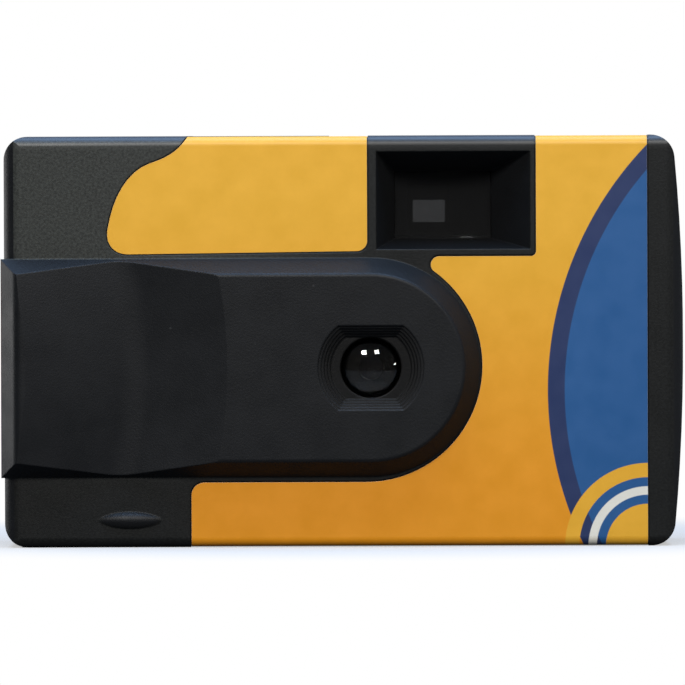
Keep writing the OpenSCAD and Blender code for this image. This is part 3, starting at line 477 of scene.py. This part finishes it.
panel_middle, panel_radius, panel_border = (0.086, 0.0, 0.024), 0.0545, 0.0026
corner = (0.0469, 0.0, 0.0)
fade_height = (0.006, 0.055)
yellow_top, yellow_low = (0.733, 0.374, 0.026), (0.722, 0.274, 0.008)
navy, blue, pale = (0.017, 0.032, 0.10), (0.015, 0.088, 0.245), (0.72, 0.7, 0.62)
corner_rings = ((0.0128, 0.0106, yellow_top), (0.0092, 0.0079, pale), (0.0065, 0.0, yellow_top))
fade = grade(tree, axes["Z"], fade_height, rising, smooth=True)
field = blend_colours(tree, fade, yellow_low, yellow_top)
field = blend_colours(tree, inside(panel_middle, panel_radius), field, navy)
field = blend_colours(tree, inside(panel_middle, panel_radius - panel_border), field, blue)
for outer, inner, colour in corner_rings:
    ring = reckon(tree, "SUBTRACT", inside(corner, outer), inside(corner, inner), clamp=True)
    field = blend_colours(tree, ring, field, colour)

ink_weight = (0.955, 1.03)
edge_wear_and_highlight = 0.55
bare_paper_and_highlight = (0.74, 0.72, 0.66)
mottle = noise(tree, place, scale=260.0, detail=5.0, roughness=0.6)
shade = grade(tree, mottle, noise_spread, ink_weight)
ink_shade = put(tree, "CombineColor", Red=shade, Green=shade, Blue=shade).outputs["Color"]
printed = blend_colours(tree, 1.0, field, ink_shade, way="MULTIPLY")
cut = place_group(tree, soft_edges, Radius=0.00009)
# Pale edges: partly bare paper where the cut edge is worn, partly a painted highlight along every edge
two_tone(tree, shader, times(tree, cut["Rub"], edge_wear_and_highlight), printed, bare_paper_and_highlight)
vary_roughness(tree, shader, mottle, shiny=0.36, dull=0.46)
shader.inputs["Specular IOR Level"].default_value = 0.4
fibre = noise(tree, place, scale=5200.0, detail=2.0)
emboss(tree, shader, fibre, depth=0.000006, strength=0.5, Normal=cut["Normal"])
dress(label_print, "label")


# Table under the camera.
# A pale tabletop that keeps the shadow near the camera and fades into the white behind it.
# It throws little light back, and is clear from below, so that the base and the open door show.

table_half, table_cuts = 0.22, 8
table_middle = (0, 0.03, 0)
table_shape = bmesh.new()
bmesh.ops.create_grid(table_shape, x_segments=table_cuts, y_segments=table_cuts, size=table_half,
                      matrix=Matrix.Translation(table_middle))
table_mesh = bpy.data.meshes.new("tabletop")
table_shape.to_mesh(table_mesh)
table_shape.free()
tabletop = bpy.data.objects.new("tabletop", table_mesh)
bpy.context.scene.collection.objects.link(tabletop)


def seen_directly(tree, rays):
    bounced = reckon(tree, "ADD", rays["Diffuse Depth"], rays["Glossy Depth"], clamp=True)
    through_glass = reckon(tree, "SUBTRACT", rays["Is Transmission Ray"], bounced, clamp=True)
    return reckon(tree, "MAXIMUM", rays["Is Camera Ray"], through_glass)


def mix_shaders(tree, share, first, second):
    made = put(tree, "MixShader", Fac=share)
    feed(tree, made.inputs[1], first)
    feed(tree, made.inputs[2], second)
    return made.outputs["Shader"]


white = (1.0, 1.0, 1.0)
table_dark, table_grey = (0.1, 0.1, 0.1), (0.55, 0.55, 0.55)
white_reach, white_share = (0.055, 0.098), (0.45, 1.0)
table_white, tree, shader = new_finish("table_white")
tree.nodes.remove(shader)
rays = put(tree, "LightPath").outputs
far_off = measure(tree, "DISTANCE", object_place(tree), table_middle)
whitened = times(tree, seen_directly(tree, rays),
                 grade(tree, far_off, white_reach, white_share, smooth=True))
tone = blend_colours(tree, rays["Is Camera Ray"], table_dark, table_grey)
matt = put(tree, "BsdfDiffuse", Color=tone).outputs["BSDF"]
glow = put(tree, "Emission", Color=white, Strength=1.0).outputs["Emission"]
clear = put(tree, "BsdfTransparent").outputs["BSDF"]
from_below = put(tree, "NewGeometry").outputs["Backfacing"]
surface = mix_shaders(tree, from_below, mix_shaders(tree, whitened, matt, glow), clear)
feed(tree, tree.nodes["Material Output"].inputs["Surface"], surface)
table_mesh.materials.append(table_white)


# White room round the table.
# White to the camera and straight through glass, and in shine only on the side behind the table.
# It is dim as a light, and bluish overhead.

backdrop_lean = 0.5
backdrop_edge, backdrop_level = (0.0, 0.35), (0.02, 1.0)
horizon, zenith = (-0.2, 0.1), (0.2, 0.8)
ambient = 0.3
sky_blue = (0.45, 0.62, 1.0)
room = bpy.data.worlds.new("white_room")
bpy.context.scene.world = room
room.use_nodes = True
tree = room.node_tree
sky = tree.nodes["Background"]
rays = put(tree, "LightPath").outputs
way = put(tree, "SeparateXYZ", Vector=put(tree, "TexCoord").outputs["Generated"]).outputs
leaning = reckon(tree, "ADD", way["Y"], times(tree, way["Z"], backdrop_lean))
behind = grade(tree, leaning, backdrop_edge, backdrop_level, smooth=True)
above = grade(tree, way["Z"], horizon, rising, smooth=True)
shine = times(tree, rays["Is Glossy Ray"], behind)
dim_light = times(tree, times(tree, rays["Is Diffuse Ray"], above), ambient)
bright = reckon(tree, "MAXIMUM", seen_directly(tree, rays), shine)
feed(tree, sky.inputs["Strength"], reckon(tree, "MAXIMUM", bright, dim_light))
overhead = times(tree, rays["Is Glossy Ray"], grade(tree, way["Z"], zenith, rising, smooth=True))
feed(tree, sky.inputs["Color"], blend_colours(tree, overhead, white, sky_blue))


# Lamps of the studio.
# Two square softboxes in front and above, a small window at the right and a weak one at the left.
# Two wide bluish lights hang overhead.

def softbox(name, spot, aim, size, power, colour):
    lamp = bpy.data.lights.new(name, "AREA")
    lamp.shape = "RECTANGLE"
    lamp.size, lamp.size_y = size
    lamp.energy = power
    lamp.color = colour
    holder = bpy.data.objects.new(name, lamp)
    holder.location = spot
    holder.rotation_euler = (Vector(aim) - Vector(spot)).to_track_quat("-Z", "Y").to_euler()
    bpy.context.scene.collection.objects.link(holder)


body_middle = (0, 0, 0.03)
key_white = (1.0, 0.985, 0.96)
softbox("key_left", spot=(-0.115, -0.42, 0.285), aim=body_middle,
        size=(0.085, 0.085), power=1.22, colour=key_white)
softbox("key_right", spot=(0.11, -0.42, 0.29), aim=body_middle,
        size=(0.08, 0.08), power=0.765, colour=key_white)
softbox("right_window", spot=(0.39, -0.31, 0.075), aim=(0, -0.01, 0.03),
        size=(0.032, 0.032), power=0.13, colour=(1.0, 0.97, 0.93))
softbox("high_front", spot=(0.02, -0.17, 0.40), aim=(0, -0.01, 0.035),
        size=(0.3, 0.1), power=0.22, colour=(0.38, 0.62, 1.0))
softbox("top_window", spot=(0.0, -0.04, 0.6), aim=body_middle,
        size=(0.6, 0.4), power=4.6, colour=(0.42, 0.64, 1.0))
softbox("left_window", spot=(-0.40, 0.2, 0.06), aim=body_middle,
        size=(0.2, 0.2), power=0.25, colour=white)


# Camera that takes the picture, in front of the lens and a little above it.
# A long lens about a metre away, so the sides hardly show.

aim_point = Vector((0.0, -0.0125, 0.03175))
distance = 1.0
shift_right, shift_up = -0.00016, -0.0002
picture_pixels = 685.0
pixels_per_metre = 6481.0
sensor_width = 36.0
yaw, pitch, roll = math.radians(-0.19), math.radians(0.64), math.radians(-0.21)
level = math.radians(90)
turned = Matrix.Rotation(pitch, 3, "X") @ Matrix.Rotation(yaw, 3, "Z")
lens = bpy.data.cameras.new("picture_camera")
lens.sensor_width = sensor_width
lens.lens = sensor_width * pixels_per_metre * distance / picture_pixels
viewer = bpy.data.objects.new("picture_camera", lens)
upright = turned.transposed() @ Matrix.Rotation(level, 3, "X") @ Matrix.Rotation(roll, 3, "Z")
standpoint = aim_point + turned.transposed() @ Vector((shift_right, -distance, shift_up))
viewer.matrix_world = Matrix.Translation(standpoint) @ upright.to_4x4()
bpy.context.scene.collection.objects.link(viewer)
bpy.context.scene.camera = viewer

bpy.context.scene.view_settings.view_transform = "Standard"
